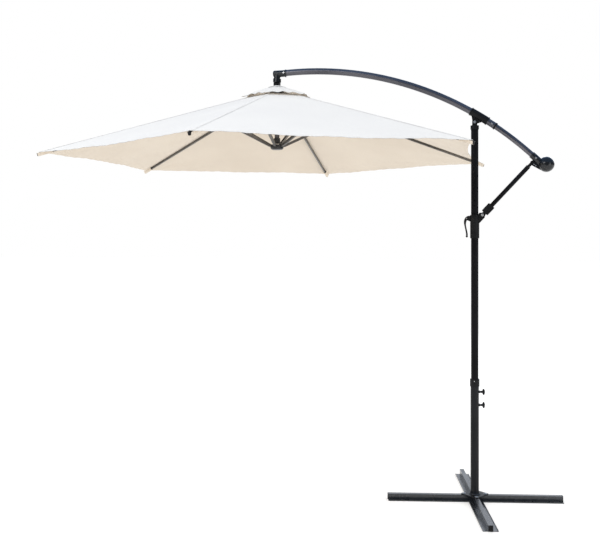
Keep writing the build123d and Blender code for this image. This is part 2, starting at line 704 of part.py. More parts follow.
def runner():
    """The bowl-shaped lower hub; it nests under the pole's nose and hangs on the cord as the canopy closes."""
    hub = rod((0, 0, RUNNER_PIVOT_Z - 17), (0, 0, RUNNER_PIVOT_Z + 13), 40)
    rims = hub.edges().filter_by(GeomType.CIRCLE).sort_by(Axis.Z)
    hub = fillet(rims[-1], 3)
    rims = hub.edges().filter_by(GeomType.CIRCLE).sort_by(Axis.Z)
    hub = fillet(rims[0], 14)
    hub = spoked_hub(hub, RUNNER_PIVOT_R, RUNNER_PIVOT_Z, -9, 20)
    hub -= rod((0, 0, RUNNER_PIVOT_Z + 8), (0, 0, RUNNER_PIVOT_Z + 20), 20.5)
    hub -= rod((0, 0, RUNNER_PIVOT_Z), (0, 0, RUNNER_PIVOT_Z + 20), CORD_R + 0.02)
    return Pos(HUB_X, 0, 0) * hub


# ---------------------------------------------------------------- ribs and stretchers

def rib_height(radius):
    """Height of a rib's centre line at a distance from the pole's axis."""
    return RIB_PIVOT_Z - (radius - RIB_PIVOT_R) * tan(radians(RIB_SLOPE))


def rib(index):
    """A hollow bar with a flat hinge eye at its inner end and a cap at its tip."""
    length = (RIB_REACH - RIB_PIVOT_R) / cos(radians(RIB_SLOPE))
    eye = cross_rod(0, 0, -3.6, 3.6, 6.5) + block((0, -3.6, -5), (30, 3.6, 5))
    tube = block((18, -RIB_W / 2, -RIB_H / 2), (length, RIB_W / 2, RIB_H / 2))
    hollow = block((34, -RIB_W / 2 + 1, -RIB_H / 2 + 1), (length + 1, RIB_W / 2 - 1, RIB_H / 2 - 1))
    bar = eye + tube - hollow - cross_rod(0, 0, -10, 10, HINGE_PIN_R + FIT_GAP)
    cap = block((length + 0.02, -6, -8.5), (length + 10, 6, 7.4))
    place = Pos(RIB_PIVOT_R, 0, RIB_PIVOT_Z) * Rot(0, RIB_SLOPE, 0)
    return [about_hub(place * piece, index) for piece in (bar, cap)]


def stretcher(index):
    """A channel that is open upwards; its far end straddles the rib."""
    rise = rib_height(RIVET_R) - RUNNER_PIVOT_Z
    run = RIVET_R - RUNNER_PIVOT_R
    length = hypot(rise, run)
    body = block((18, -STRETCHER_W / 2, -STRETCHER_H / 2), (length, STRETCHER_W / 2, STRETCHER_H / 2))
    body += cross_rod(length, 0, -STRETCHER_W / 2, STRETCHER_W / 2, STRETCHER_H / 2)
    body += cross_rod(length, 0, -STRETCHER_W / 2 - 2, STRETCHER_W / 2 + 2, 5)
    body -= block((30, -4.9, -STRETCHER_H / 2 + 1.6), (length + 20, 4.9, STRETCHER_H))
    body -= block((length - 92, -4.9, -STRETCHER_H), (length + 20, 4.9, STRETCHER_H))
    body += cross_rod(0, 0, -3.6, 3.6, 6.5) + block((0, -3.6, -5), (19, 3.6, 5))
    body -= cross_rod(0, 0, -10, 10, HINGE_PIN_R + FIT_GAP)
    place = Pos(RUNNER_PIVOT_R, 0, RUNNER_PIVOT_Z) * Rot(0, -degrees(atan2(rise, run)), 0)
    return about_hub(place * body, index)


# ---------------------------------------------------------------- cloth and cord

def cloth_height(radius):
    return rib_height(radius) + CLOTH_LIFT


def hexagon_pyramid(outer_r, inner_r, lift):
    """A six-sided frustum whose edges lie over the ribs."""
    low = Pos(0, 0, cloth_height(outer_r) + lift) * RegularPolygon(outer_r, 6, rotation=30)
    high = Pos(0, 0, cloth_height(inner_r) + lift) * RegularPolygon(inner_r, 6, rotation=30)
    return loft([low.face(), high.face()], ruled=True)


def cloth_shell(outer_r, inner_r, lift, scallop):
    """A thin six-panel tent with an opening at its top and hems that curve in between the ribs."""
    under = Pos(0, 0, -CLOTH) * hexagon_pyramid(outer_r + 6, inner_r - 4, lift)
    shell = hexagon_pyramid(outer_r, inner_r, lift) - under
    chord = outer_r
    bow = (chord * chord / 4 + scallop * scallop) / (2 * scallop)
    apothem = outer_r * cos(radians(30))
    low = cloth_height(outer_r) - 200
    for i in range(RIB_COUNT):
        centre = Rot(0, 0, 60 * i) * Pos(apothem - scallop + bow, 0, low)
        shell -= centre * Cylinder(bow, 900, align=(Align.CENTER, Align.CENTER, Align.MIN))
    return shell


def canopy():
    return Pos(HUB_X, 0, 0) * cloth_shell(RIB_REACH, VENT_HOLE_R, 0, HEM_SCALLOP)


def vent_cap():
    return Pos(HUB_X, 0, 0) * cloth_shell(VENT_R, VENT_MOUTH_R, VENT_LIFT, VENT_SCALLOP)


def inset_point(x, inset):
    """The point on a smaller arc that lies inwards of the arm's centre line."""
    start = arc_point(x)
    radial = Vector(start[0] - ARC_X, 0, start[2] - ARC_Z).normalized()
    return Vector(*start) - radial * inset


def drum_tangent(point):
    """Where a cord from a point meets the top of the spool's winding."""
    bx, bz = BALL
    away = hypot(point.X - bx, point.Z - bz)
    turn = atan2(point.Z - bz, point.X - bx) - acos(SPOOL_R / away)
    return (bx + SPOOL_R * cos(turn), 0, bz + SPOOL_R * sin(turn))


def lift_cord():
    """The arm's stretch of the cord: off the spool, along the tubes, and over the pulley to the knuckle."""
    tube_start, tube_end = HUB_X + PULLEY_R + 6, 350
    along_tubes = arc_rod(tube_start, tube_end, CORD_R, CORD_DROP_IN_TUBE)
    leaving = inset_point(tube_end, CORD_DROP_IN_TUBE)
    to_spool = rod(leaving + Vector(0.4, 0, 0), drum_tangent(leaving), CORD_R)
    top = (HUB_X + PULLEY_R, 0, PULLEY_Z + PULLEY_R)
    over = rod((tube_start - 1, 0, top[2]), top, CORD_R)
    face = Plane(origin=top, z_dir=(-1, 0, 0)) * Circle(CORD_R)
    axis = Axis((HUB_X + PULLEY_R, 0, PULLEY_Z), (0, -1, 0))
    over += revolve(face, axis=axis, revolution_arc=90)
    over += rod((HUB_X, 0, PULLEY_Z), (HUB_X, 0, HANG_Z + 1), CORD_R)
    return [along_tubes, to_spool, over]


def cord_drop():
    """The cord down the pole, from the knuckle to the runner."""
    return rod((HUB_X, 0, RUNNER_PIVOT_Z + 2), (HUB_X, 0, HANG_Z), CORD_R)


def bench():
    """Every piece by its node name."""
    turned = {
        "base_bar_lower": base_bar_lower(),
        "base_bar_upper": base_bar_upper(),
        "bar_end_plugs": bar_end_plugs(),
        "base_fasteners": base_bolts() + base_nuts(),
        "lower_mast": lower_mast(),
        "mast_bushing": mast_bushing(),
        "hand_screw_lower": hand_screw(SCREW_HEIGHTS[0]),
        "hand_screw_upper": hand_screw(SCREW_HEIGHTS[1]),
    }
    pieces = {}
    for name, shape in turned.items():
        solids = shape if isinstance(shape, list) else [shape]
        pieces[name] = [around_mast(solid, BASE_YAW) for solid in solids]
    pieces["base_fasteners"].append(collar_screw())
    pieces["slider_pins"] = [lever_pin(), foot_bolt()]
    pieces["arm_fasteners"] = arm_bolts() + housing_screws() + [pulley_pin()]
    for make in (
        swivel_seat, mast_foot, mast_collar, upper_mast, mast_head, head_pin,
        slider_body, slider_liners, trigger_lever, lock_pin, lever_spring,
        strut_foot, strut_tube, strut_head, arm_tube_front, arm_tube_rear, arm_coupler, saddle,
        crank_housing_near, crank_housing_far, spool,
        crank_shaft, brake_ring, crank_arm, crank_knob, elbow, cord_pulley,
        hanger_block, hanger_screws, canopy_pole, pole_nose, top_hub, runner, canopy, vent_cap,
        lift_cord, cord_drop,
    ):
        pieces[make.__name__] = make()
    for i in range(RIB_COUNT):
        pieces[f"rib_{i + 1}"] = rib(i)
        pieces[f"stretcher_{i + 1}"] = stretcher(i)
    return pieces


def export_all():
    os.makedirs("parts", exist_ok=True)
    for name, shape in bench().items():
        solids = shape if isinstance(shape, list) else [shape]
        flat = [solid for piece in solids for solid in piece.solids()]
        whole = flat[0] if len(flat) == 1 else Compound(children=flat)
        export_step(whole, f"parts/{name}.step")


export_all()
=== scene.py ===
import json
import math
import random

import bpy
import numpy as np
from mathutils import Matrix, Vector


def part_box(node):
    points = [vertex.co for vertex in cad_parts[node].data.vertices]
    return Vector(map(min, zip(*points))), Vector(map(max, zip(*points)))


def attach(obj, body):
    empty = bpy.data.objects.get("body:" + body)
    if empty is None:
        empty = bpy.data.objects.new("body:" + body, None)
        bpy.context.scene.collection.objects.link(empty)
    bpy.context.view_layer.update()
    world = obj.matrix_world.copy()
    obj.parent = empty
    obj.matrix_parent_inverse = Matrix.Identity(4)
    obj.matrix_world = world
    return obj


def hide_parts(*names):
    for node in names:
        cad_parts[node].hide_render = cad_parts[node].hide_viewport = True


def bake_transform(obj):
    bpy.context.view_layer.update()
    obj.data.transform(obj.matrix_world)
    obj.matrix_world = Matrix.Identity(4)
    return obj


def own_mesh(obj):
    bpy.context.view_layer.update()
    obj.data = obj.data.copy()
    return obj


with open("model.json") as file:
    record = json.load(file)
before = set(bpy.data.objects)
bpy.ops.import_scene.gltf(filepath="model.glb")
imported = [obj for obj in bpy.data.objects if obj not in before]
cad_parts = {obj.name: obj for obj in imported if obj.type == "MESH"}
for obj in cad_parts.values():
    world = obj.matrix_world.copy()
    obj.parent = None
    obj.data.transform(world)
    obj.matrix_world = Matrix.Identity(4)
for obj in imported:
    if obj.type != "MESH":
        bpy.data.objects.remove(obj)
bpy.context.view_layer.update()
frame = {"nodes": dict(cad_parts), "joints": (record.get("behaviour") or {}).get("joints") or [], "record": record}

JOINTS = {j["name"]: j for j in frame["joints"]}

# The canopy's layout, in metres, as in the CAD
HUB_X = JOINTS["canopy_hang"]["pos_m"][0]
RIB_PIVOT_R = 0.034
RIB_PIVOT_Z = JOINTS["rib_1_fold"]["pos_m"][2]
RIB_SLOPE = math.radians(16.8)
RIB_REACH = 1.400
RIB_LENGTH = (RIB_REACH - RIB_PIVOT_R) / math.cos(RIB_SLOPE)
RIVET_R = 0.460
STRETCHER_W = 0.013
CLOTH = 0.0008
CLOTH_LIFT = 0.0115
HEM_SCALLOP = 0.052
VENT_R = 0.225
VENT_HOLE_R = 0.150
VENT_SCALLOP = 0.012
BASE_YAW = math.radians(11.8)
PLATE_TOP = 0.038
BOLT_CIRCLE_R = 0.062

HALF_PANEL = math.radians(30)
TAN_HALF = math.tan(HALF_PANEL)
COS_HALF = math.cos(HALF_PANEL)
WHITE = (1.0, 1.0, 1.0, 1.0)


# ---------------------------------------------------------------- node helpers

def node(tree, kind, inputs=None, **settings):
    """A shader node with its settings and inputs; an input is a value or another node's output."""
    made = tree.nodes.new("ShaderNode" + kind)
    for key, value in settings.items():
        setattr(made, key, value)
    for key, value in (inputs or {}).items():
        if isinstance(value, bpy.types.NodeSocket):
            tree.links.new(value, made.inputs[key])
        else:
            made.inputs[key].default_value = value
    return made


def calc(tree, operation, a, b=0.0):
    """A Math node's result."""
    return node(tree, "Math", {0: a, 1: b}, operation=operation).outputs[0]


def wave(tree, length, pitch):
    """A sine wave of the given pitch over a length."""
    return calc(tree, "SINE", calc(tree, "MULTIPLY", length, 2 * math.pi / pitch))


def paint(tree, shader, socket, value):
    """Joins a node's output to one of the shader's inputs."""
    tree.links.new(value, shader.inputs[socket])


def remap(tree, value, low, high, to_low=0.0, to_high=1.0):
    """value from low..high to to_low..to_high, with smooth ends."""
    made = node(
        tree, "MapRange",
        {"Value": value, "From Min": low, "From Max": high, "To Min": to_low, "To Max": to_high},
        interpolation_type="SMOOTHSTEP",
    )
    return made.outputs[0]


def mixed(tree, factor, a, b):
    """A colour between a and b."""
    made = node(tree, "Mix", data_type="RGBA")
    for index, value in ((0, factor), (6, a), (7, b)):
        if isinstance(value, bpy.types.NodeSocket):
            tree.links.new(value, made.inputs[index])
        else:
            made.inputs[index].default_value = value
    return made.outputs[2]


def noise(tree, scale, detail=2.0, stretch=None, rough=0.5):
    """Noise over the object's own coordinates, which are the row frame's at rest."""
    at = node(tree, "TexCoord").outputs["Object"]
    if stretch:
        at = node(tree, "Mapping", {"Vector": at, "Scale": stretch}).outputs[0]
    made = node(tree, "TexNoise", {"Vector": at, "Scale": scale, "Detail": detail, "Roughness": rough})
    return made.outputs[0]


def finish_of(name, **values):
    """A material with its Principled shader's own sockets set."""
    mat = bpy.data.materials.new(name)
    mat.use_nodes = True
    shader = mat.node_tree.nodes["Principled BSDF"]
    for key, value in values.items():
        shader.inputs[key.replace("_", " ")].default_value = value
    return mat, mat.node_tree, shader


def bumped(tree, shader, height, strength, distance):
    bump = node(tree, "Bump", {"Height": height, "Strength": strength, "Distance": distance})
    tree.links.new(bump.outputs[0], shader.inputs["Normal"])


def upward(tree):
    """How much a surface faces up, from 0 to 1."""
    normal = node(tree, "NewGeometry").outputs["Normal"]
    return calc(tree, "MAXIMUM", node(tree, "SeparateXYZ", {0: normal}).outputs[2], 0.0)


# ---------------------------------------------------------------- hard materials

DUST = (0.42, 0.40, 0.37, 1)
RUBBED = (0.05, 0.05, 0.052, 1)
SCUFFED = (0.045, 0.045, 0.046, 1)
TIP_CAP_BLACK = (0.012, 0.012, 0.013, 1)


def coated_metal(name, dark, light, rough, tip_from=None, **values):
    """Satin powder coat: orange peel, cloudy tone, rubbed and dusty patches.

    Beyond tip_from metres from the pole the piece is the black cap of a rib.
    """
    mat, tree, shader = finish_of(name, **values)
    cloud = remap(tree, noise(tree, 3.5, 3), 0.35, 0.65)
    colour = mixed(tree, cloud, dark, light)
    specks = remap(tree, noise(tree, 22, 4, rough=0.65), 0.45, 0.75, 0, 0.035)
    colour = mixed(tree, calc(tree, "MULTIPLY", upward(tree), specks), colour, DUST)
    rub = remap(tree, noise(tree, 60, 5, (1, 1, 0.25), 0.7), 0.62, 0.78, 0, 0.12)
    colour = mixed(tree, rub, colour, RUBBED)
    if tip_from:
        where = node(tree, "SeparateXYZ", {0: node(tree, "TexCoord").outputs["Object"]})
        across = calc(tree, "SUBTRACT", where.outputs[0], HUB_X)
        squares = [calc(tree, "POWER", offset, 2.0) for offset in (across, where.outputs[1])]
        tip = calc(tree, "GREATER_THAN", calc(tree, "ADD", *squares), tip_from ** 2)
        colour = mixed(tree, tip, colour, TIP_CAP_BLACK)
    paint(tree, shader, "Base Color", colour)
    streak = remap(tree, noise(tree, 14, 3), 0.3, 0.7, rough - 0.05, rough + 0.07)
    paint(tree, shader, "Roughness", streak)
    bumped(tree, shader, noise(tree, 850, 2), 0.12, 0.0003)
    return mat


def moulded_plastic(name, dark, light, rough, grain, **values):
    """Moulded plastic: fine spark-eroded grain, faint flow marks, scuffs."""
    mat, tree, shader = finish_of(name, **values)
    flow = remap(tree, noise(tree, 9, 3, (1, 1, 2.5)), 0.35, 0.65)
    colour = mixed(tree, flow, dark, light)
    scuff = remap(tree, noise(tree, 140, 4, (1, 0.3, 1), 0.7), 0.66, 0.8, 0, 0.14)
    paint(tree, shader, "Base Color", mixed(tree, scuff, colour, SCUFFED))
    paint(tree, shader, "Roughness", remap(tree, noise(tree, 35, 3), 0.3, 0.7, rough - 0.04, rough + 0.08))
    bumped(tree, shader, noise(tree, 1600, 1), grain, 0.0002)
    return mat


def plated_steel(name):
    """Zinc plate: soft brushed streaks with slightly yellow and dull patches."""
    mat, tree, shader = finish_of(name, Metallic=1.0)
    patch = remap(tree, noise(tree, 120, 3), 0.4, 0.65)
    paint(tree, shader, "Base Color", mixed(tree, patch, (0.58, 0.58, 0.57, 1), (0.46, 0.45, 0.42, 1)))
    paint(tree, shader, "Roughness", remap(tree, noise(tree, 300, 3), 0.3, 0.7, 0.22, 0.42))
    bumped(tree, shader, noise(tree, 700, 2, (1, 8, 1)), 0.15, 0.0002)
    return mat


BRAID_LEAN = 2200.0


def braided_cord(name):
    """Braided cord: two crossing sets of waves make the plait."""
    mat, tree, shader = finish_of(name, Roughness=0.85, Sheen_Weight=0.2)
    where = node(tree, "SeparateXYZ", {0: node(tree, "TexCoord").outputs["Object"]})
    lean = [calc(tree, "MULTIPLY", where.outputs[axis], BRAID_LEAN) for axis in range(3)]
    left = calc(tree, "SINE", calc(tree, "ADD", lean[2], lean[0]))
    right = calc(tree, "SINE", calc(tree, "SUBTRACT", lean[2], lean[1]))
    plait = remap(tree, calc(tree, "MULTIPLY", left, right), -1.0, 1.0)
    # The cord is painted darker in the braid's grooves and lighter on its raised strands: painted shade.
    paint(tree, shader, "Base Color", mixed(tree, plait, (0.05, 0.05, 0.05, 1), (0.16, 0.16, 0.155, 1)))
    bumped(tree, shader, plait, 0.6, 0.0004)
    return mat


# ---------------------------------------------------------------- cloth materials

STITCH_LINES = (0.0045, 0.0185)
STITCH_PITCH = 0.0042
WEAVE_PITCH = 0.0012
SOIL = (0.40, 0.36, 0.30, 1)


def cloth(name, light, dark, thread):
    """Woven polyester with a plain weave, stitched hems and slight soiling towards seams and hem."""
    mat, tree, shader = finish_of(
        name, Roughness=0.82, Sheen_Weight=0.12, Sheen_Roughness=0.4, Specular_IOR_Level=0.25)
    fabric = node(tree, "SeparateXYZ", {0: node(tree, "Attribute", attribute_name="weave").outputs["Vector"]})
    warp, weft = [wave(tree, fabric.outputs[way], WEAVE_PITCH) for way in (0, 1)]
    weave = remap(tree, calc(tree, "MULTIPLY", warp, weft), -1.0, 1.0)
    edge = node(tree, "Attribute", attribute_name="edge").outputs["Fac"]
    along = node(tree, "Attribute", attribute_name="along").outputs["Fac"]
    dash = remap(tree, wave(tree, along, STITCH_PITCH), -0.5, -0.1)
    rows = None
    for line in STITCH_LINES:
        off = calc(tree, "ABSOLUTE", calc(tree, "SUBTRACT", edge, line))
        row = remap(tree, off, 0.0003, 0.0008, 1.0, 0.0)
        rows = row if rows is None else calc(tree, "MAXIMUM", rows, row)
    stitch = calc(tree, "MULTIPLY", rows, dash)
    cloud = remap(tree, noise(tree, 2.2, 4), 0.3, 0.7)
    colour = mixed(tree, cloud, dark, light)
    near_edge = remap(tree, edge, 0.0, 0.05, 0.5, 0.0)
    soil = calc(tree, "MULTIPLY", near_edge, remap(tree, noise(tree, 26, 4), 0.35, 0.75))
    colour = mixed(tree, calc(tree, "MULTIPLY", soil, 0.10), colour, SOIL)
    colour = mixed(tree, calc(tree, "MULTIPLY", weave, 0.05), colour, thread)
    colour = mixed(tree, calc(tree, "MULTIPLY", stitch, 0.6), colour, thread)
    paint(tree, shader, "Base Color", colour)
    sunk = calc(tree, "MULTIPLY", rows, calc(tree, "SUBTRACT", dash, 0.8))
    relief = calc(tree, "ADD", calc(tree, "MULTIPLY", weave, 0.35), sunk)
    bumped(tree, shader, relief, 0.35, 0.0004)
    return mat


STEEL_DARK = coated_metal(
    "coat_steel", (0.0040, 0.0040, 0.0048, 1), (0.0075, 0.0075, 0.0088, 1), 0.36, Specular_IOR_Level=0.08)
STEEL_BASE = coated_metal(
    "coat_base", (0.020, 0.023, 0.027, 1), (0.032, 0.036, 0.042, 1), 0.26,
    Specular_IOR_Level=0.4, Coat_Weight=0.5, Coat_Roughness=0.2)
STEEL_POST = coated_metal(
    "coat_post", (0.0055, 0.0060, 0.0070, 1), (0.0100, 0.0105, 0.0120, 1), 0.34, Specular_IOR_Level=0.2)
ALLOY_DARK = coated_metal(
    "coat_alloy", (0.115, 0.112, 0.125, 1), (0.150, 0.145, 0.160, 1), 0.30,
    Metallic=0.9, Specular_IOR_Level=0.3)
ALLOY_RIB = coated_metal(
    "coat_rib", (0.10, 0.095, 0.09, 1), (0.16, 0.15, 0.14, 1), 0.38,
    tip_from=RIB_REACH + 0.0005, Metallic=0.6)
PLASTIC = moulded_plastic(
    "plastic_black", (0.0045, 0.0045, 0.005, 1), (0.0085, 0.0085, 0.009, 1), 0.40, 0.25,
    Specular_IOR_Level=0.18)
PLASTIC_GREY = moulded_plastic(
    "plastic_hub", (0.016, 0.016, 0.017, 1), (0.027, 0.027, 0.028, 1), 0.40, 0.2, Specular_IOR_Level=0.35)
GLOSSY = moulded_plastic(
    "plastic_gloss", (0.0050, 0.0058, 0.007, 1), (0.0085, 0.0095, 0.011, 1), 0.18, 0.05,
    Specular_IOR_Level=0.2, Coat_Weight=0.6, Coat_Roughness=0.12)
PLATED = plated_steel("zinc_plate")
CORD = braided_cord("braid")
# The inside is the same cloth as the outside, painted darker and warmer: painted shade, with painted light shining
# through the cloth.
CLOTH_TOP = cloth(
    "canopy_outside", (0.885, 0.885, 0.885, 1), (0.85, 0.85, 0.855, 1), (0.74, 0.74, 0.74, 1))
CLOTH_UNDER_SHADED = cloth(
    "canopy_inside_shaded", (0.722, 0.636, 0.528, 1), (0.68, 0.592, 0.488, 1), (0.56, 0.48, 0.39, 1))

SLOT_FINISH = {
    "dark_steel": STEEL_DARK,
    "dark_alloy": ALLOY_DARK,
    "black_plastic": PLASTIC,
    "gloss_black": GLOSSY,
    "bright_steel": PLATED,
    "canopy_cloth": CLOTH_TOP,
    "cord": CORD,
}
NODE_FINISH = {
    "base_bar_lower": STEEL_BASE,
    "base_bar_upper": STEEL_BASE,
    "lower_mast": STEEL_POST,
    "strut_tube": STEEL_DARK,
    "top_hub": PLASTIC_GREY,
    "runner": PLASTIC_GREY,
    "pole_nose": PLASTIC_GREY,
    "elbow": GLOSSY,
}


def paint_cad():
    """Every carried-over CAD node takes its slot's finish, or its own."""
    slots = {part["node"]: part["material_slot"] for part in frame["record"]["subparts"]}
    for name, obj in frame["nodes"].items():
        finish = NODE_FINISH.get(name, SLOT_FINISH[slots[name]])
        if name.startswith(("rib_", "stretcher_")):
            finish = ALLOY_RIB
        obj.data.materials.clear()
        obj.data.materials.append(finish)


# ---------------------------------------------------------------- mesh helpers

def add_mesh(name, points, faces, finishes, face_finish=None, normals=None):
    mesh = bpy.data.meshes.new(name)
    mesh.from_pydata([tuple(p) for p in points], [], [tuple(int(i) for i in f) for f in faces])
    for finish in finishes:
        mesh.materials.append(finish)
    if face_finish is not None:
        mesh.polygons.foreach_set("material_index", face_finish)
    mesh.polygons.foreach_set("use_smooth", [True] * len(mesh.polygons))
    mesh.update()
    if normals is not None:
        mesh.normals_split_custom_set_from_vertices([tuple(n) for n in normals])
    obj = bpy.data.objects.new(name, mesh)
    bpy.context.scene.collection.objects.link(obj)
    return obj


def grid_faces(rows, cols, closed=False):
    index = np.arange(rows * cols).reshape(rows, cols)
    if closed:
        index = np.concatenate([index, index[:, :1]], 1)
    corners = (index[:-1, :-1], index[1:, :-1], index[1:, 1:], index[:-1, 1:])
    return np.stack(corners, -1).reshape(-1, 4)


def store(mesh, name, values, kind="FLOAT"):
    attribute = mesh.attributes.new(name, kind, "POINT")
    field = "vector" if kind == "FLOAT_VECTOR" else "value"
    attribute.data.foreach_set(field, np.ascontiguousarray(values, np.float32).ravel())


def thin_shell(name, top, low, finishes, facts, normals=None):
    """A closed thin sheet from two grids of points: outside finish on top, inside finish below."""
    rows, cols = top.shape[:2]
    count = rows * cols
    index = np.arange(count).reshape(rows, cols)
    upper = grid_faces(rows, cols)
    first = top.reshape(-1, 3)[upper[len(upper) // 2]]
    if np.cross(first[1] - first[0], first[3] - first[0])[2] < 0:
        upper = upper[:, ::-1]
    ring = np.concatenate([index[0], index[1:, -1], index[-1, -2::-1], index[-2:0:-1, 0]])
    after = np.roll(ring, -1)
    directed = {(int(f[k]), int(f[(k + 1) % 4])) for f in upper for k in range(4)}
    if (int(ring[0]), int(after[0])) in directed:
        ring, after = after, ring
    rim = np.stack([ring, after, after + count, ring + count], -1)
    faces = np.concatenate([upper, upper[:, ::-1] + count, rim])
    finish = [0] * len(upper) + [1] * len(upper) + [0] * len(rim)
    points = np.concatenate([top.reshape(-1, 3), low.reshape(-1, 3)])
    if normals is not None:
        flat = normals.reshape(-1, 3)
        normals = np.concatenate([flat, -flat])
    obj = add_mesh(name, points, faces, finishes, finish, normals)
    for key, value in facts.items():
        kind = "FLOAT_VECTOR" if value.ndim == 3 else "FLOAT"
        flat = value.reshape(count, -1)
        store(obj.data, key, np.concatenate([flat, flat]), kind)
    return obj


def lathe(profile, place, axis, sides=24, ripple=0.0, lobes=0):
    """Points and faces of a turned solid: profile is (radius, height) pairs along the axis from place."""
    axis = Vector(axis).normalized()
    turn = Vector((0, 0, 1)).rotation_difference(axis)
    points = []
    for radius, height in profile:
        for k in range(sides):
            angle = 2 * math.pi * k / sides
            r = radius * (1 + ripple * math.cos(lobes * angle))
            points.append(Vector(place) + turn @ Vector((r * math.cos(angle), r * math.sin(angle), height)))
    faces = [tuple(f) for f in grid_faces(len(profile), sides, closed=True)[:, ::-1]]
    return points, faces


def capped(points, faces, rows, sides):
    """Closes both ends of a lathe."""
    return points, faces + [tuple(range(sides))[::-1], tuple(range((rows - 1) * sides, rows * sides))]


def join_parts(parts):
    points, faces = [], []
    for more_points, more_faces in parts:
        shift = len(points)
        points += more_points
        faces += [tuple(int(i) + shift for i in f) for f in more_faces]
    return points, faces


def dome(place, axis, radius, height, sides=20):
    profile = [(radius * math.cos(a), height * math.sin(a)) for a in np.linspace(0, 1.45, 6)]
    return capped(*lathe(profile, place, axis, sides), len(profile), sides)


# ---------------------------------------------------------------- canopy

def rib_angle(rib):
    return math.radians(30 + 60 * rib)


def plane_height(rho):
    """Height of the flat panel's top over the distance from the pole towards the panel's middle."""
    return RIB_PIVOT_Z + CLOTH_LIFT - (rho / COS_HALF - RIB_PIVOT_R) * math.tan(RIB_SLOPE)


def hem_curve(outer_r, scallop):
    """(centre distance, radius) of the circle that hollows a hem between two ribs."""
    bow = (outer_r ** 2 / 4 + scallop ** 2) / (2 * scallop)
    return outer_r * COS_HALF - scallop + bow, bow


def hem_distance(curve, rho, tau):
    centre, bow = curve
    return centre - np.sqrt(bow ** 2 - tau ** 2) - rho


def hem_reach(curve, slant):
    """How far out the hem is along a line from the pole whose tau / rho is slant."""
    centre, bow = curve
    k = 1 + slant ** 2
    return (centre - np.sqrt(centre ** 2 - k * (centre ** 2 - bow ** 2))) / k


CANOPY_HEM = hem_curve(RIB_REACH, HEM_SCALLOP)
CAP_HEM = hem_curve(VENT_R, VENT_SCALLOP)
HEM_BAND = 0.022
CANOPY_SAG = 0.017

# Slow waves in the stretched cloth: height, and how fast they turn outwards and along the hem
SLOW_WAVES = ((0.0022, 7.5, 5.0), (0.0014, -9, 13), (0.0009, 6, 24))
# Pressed creases run out from the pole at these slants
CREASE_SLANTS = (-0.19, 0.17)
GATHER_PITCH = 0.085

# The vent cap's height over the canopy at its middle, its drop at a rib, and how far each panel puffs up
CAP_LIFT = 0.027
CAP_DROP = 0.013
CAP_PUFF = 0.018
CAP_SHARES = (0.8, 1.0, 1.0, 0.7, 0.15, 0.30)


def smooth_step(x, low, high):
    t = np.clip((x - low) / (high - low), 0, 1)
    return t * t * (3 - 2 * t)


def panel_phases(panel, count):
    rng = random.Random(71 + panel)
    return [rng.uniform(0, 2 * math.pi) for _ in range(count)]


def drape(panel, rho, tau):
    """How far the cloth lies above the flat panel: sag, slow waves, tension folds, creases and gathers."""
    edge = np.abs(tau) / (rho * TAN_HALF)
    out = np.clip((rho - VENT_HOLE_R * COS_HALF) / 1.0, 0, 1.1)
    phases = panel_phases(panel, 8)
    lift = -CANOPY_SAG * out ** 1.3 * (1 - edge ** 2)
    free = 1 - np.clip(edge, 0, 1) ** 6
    waves = 0
    for phase, (height, outward, sideways) in zip(phases, SLOW_WAVES):
        waves = waves + height * np.sin(outward * rho + sideways * tau + phase)
    lift += waves * out * free
    tip_rho = RIB_REACH * COS_HALF
    for number, side in enumerate((-1, 1)):
        back, across = tip_rho - rho, tip_rho * TAN_HALF - side * tau
        away = np.hypot(back, across) + 1e-6
        turn = np.arctan2(across, back)
        strength = 0.0034 * np.exp(-away / 0.24) * (1 - np.exp(-away / 0.05))
        lift += strength * np.sin(17 * turn + phases[3 + number]) * free
    for number, slant in enumerate(CREASE_SLANTS):
        line = (tau - slant * rho) * (1 + 0.08 * math.sin(phases[5 + number]))
        lift += -0.0012 * np.exp(-np.abs(line) / 0.010) * out * free
    near_hem = np.exp(-hem_distance(CANOPY_HEM, rho, tau) / 0.05)
    gather = 0.0011 * np.sin(2 * math.pi * tau / GATHER_PITCH + phases[7]) * near_hem
    return lift + gather * free


def canopy_top(panel, rho, tau):
    """The canopy's outside, with its hem and the turned-in mouth at the top a little thicker."""
    band = 1 - smooth_step(hem_distance(CANOPY_HEM, rho, tau), HEM_BAND - 0.001, HEM_BAND + 0.0012)
    mouth = 1 - smooth_step(rho - VENT_HOLE_R * COS_HALF, 0.012, 0.014)
    return plane_height(rho) + drape(panel, rho, tau) + 0.0006 * (band + mouth)


def cap_top(panel, rho, tau):
    """The vent cap's top: tied down at the ribs, its rim puffed up in waves between them."""
    r = np.hypot(rho, tau)
    theta = np.arctan2(tau, rho)
    edge = np.abs(theta) / HALF_PANEL
    out = np.clip((r - 0.06) / (VENT_R - 0.06), 0, 1.1)
    phase, = panel_phases(panel + 20, 1)
    puff = CAP_PUFF * CAP_SHARES[panel] * np.clip(1 - edge ** 2, 0, 1) ** 0.8
    ripple = 0.0050 * np.sin(3 * math.pi * edge * np.sign(theta) + phase) * (1 - edge ** 4)
    low = CAP_LIFT - CAP_DROP * smooth_step(out, 0.25, 1.0)
    band = 0.0005 * (1 - smooth_step(hem_distance(CAP_HEM, rho, tau), 0.009, 0.011))
    return plane_height(rho) + low + (puff + ripple) * out ** 1.6 + band


def surface_points(mid, rho, tau, height):
    """Panel coordinates to the row frame."""
    x = HUB_X + rho * math.cos(mid) - tau * math.sin(mid)
    y = rho * math.sin(mid) + tau * math.cos(mid)
    return np.stack([x, y, height], -1)


